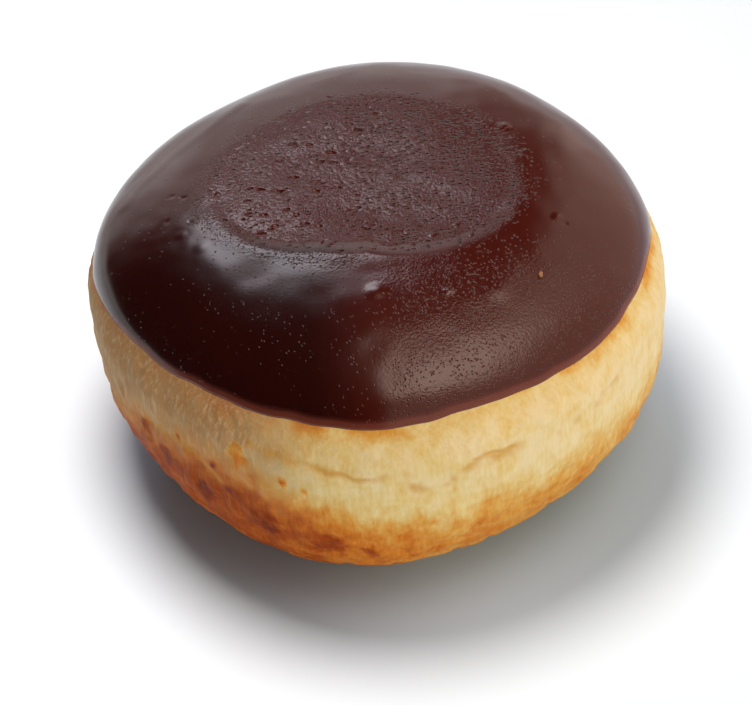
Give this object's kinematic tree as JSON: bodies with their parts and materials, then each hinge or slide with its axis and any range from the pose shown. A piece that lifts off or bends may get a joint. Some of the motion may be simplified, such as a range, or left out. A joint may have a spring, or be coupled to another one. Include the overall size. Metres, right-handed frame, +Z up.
{
  "type": "cream-filled doughnut",
  "caption": "Round, hole-less filled doughnut with a chocolate icing cap, a sunk plateau on top, folded golden-brown sides and a flat spot to rest on.",
  "frame": {"origin": "middle of the flat spot that the doughnut rests on", "axes": "+Z up through the middle of the icing; -Y towards the side with the folds"},
  "size_m": [0.0917, 0.0905, 0.0517],
  "materials": {
    "dough": "fried yeast dough: pale cream near the icing, golden brown towards the foot",
    "icing": "set chocolate icing, dark brown, softly glossy with small bubbles"
  },
  "bodies": {
    "root": {"dough": "dough", "icing": "icing"}
  },
  "joints": []
}
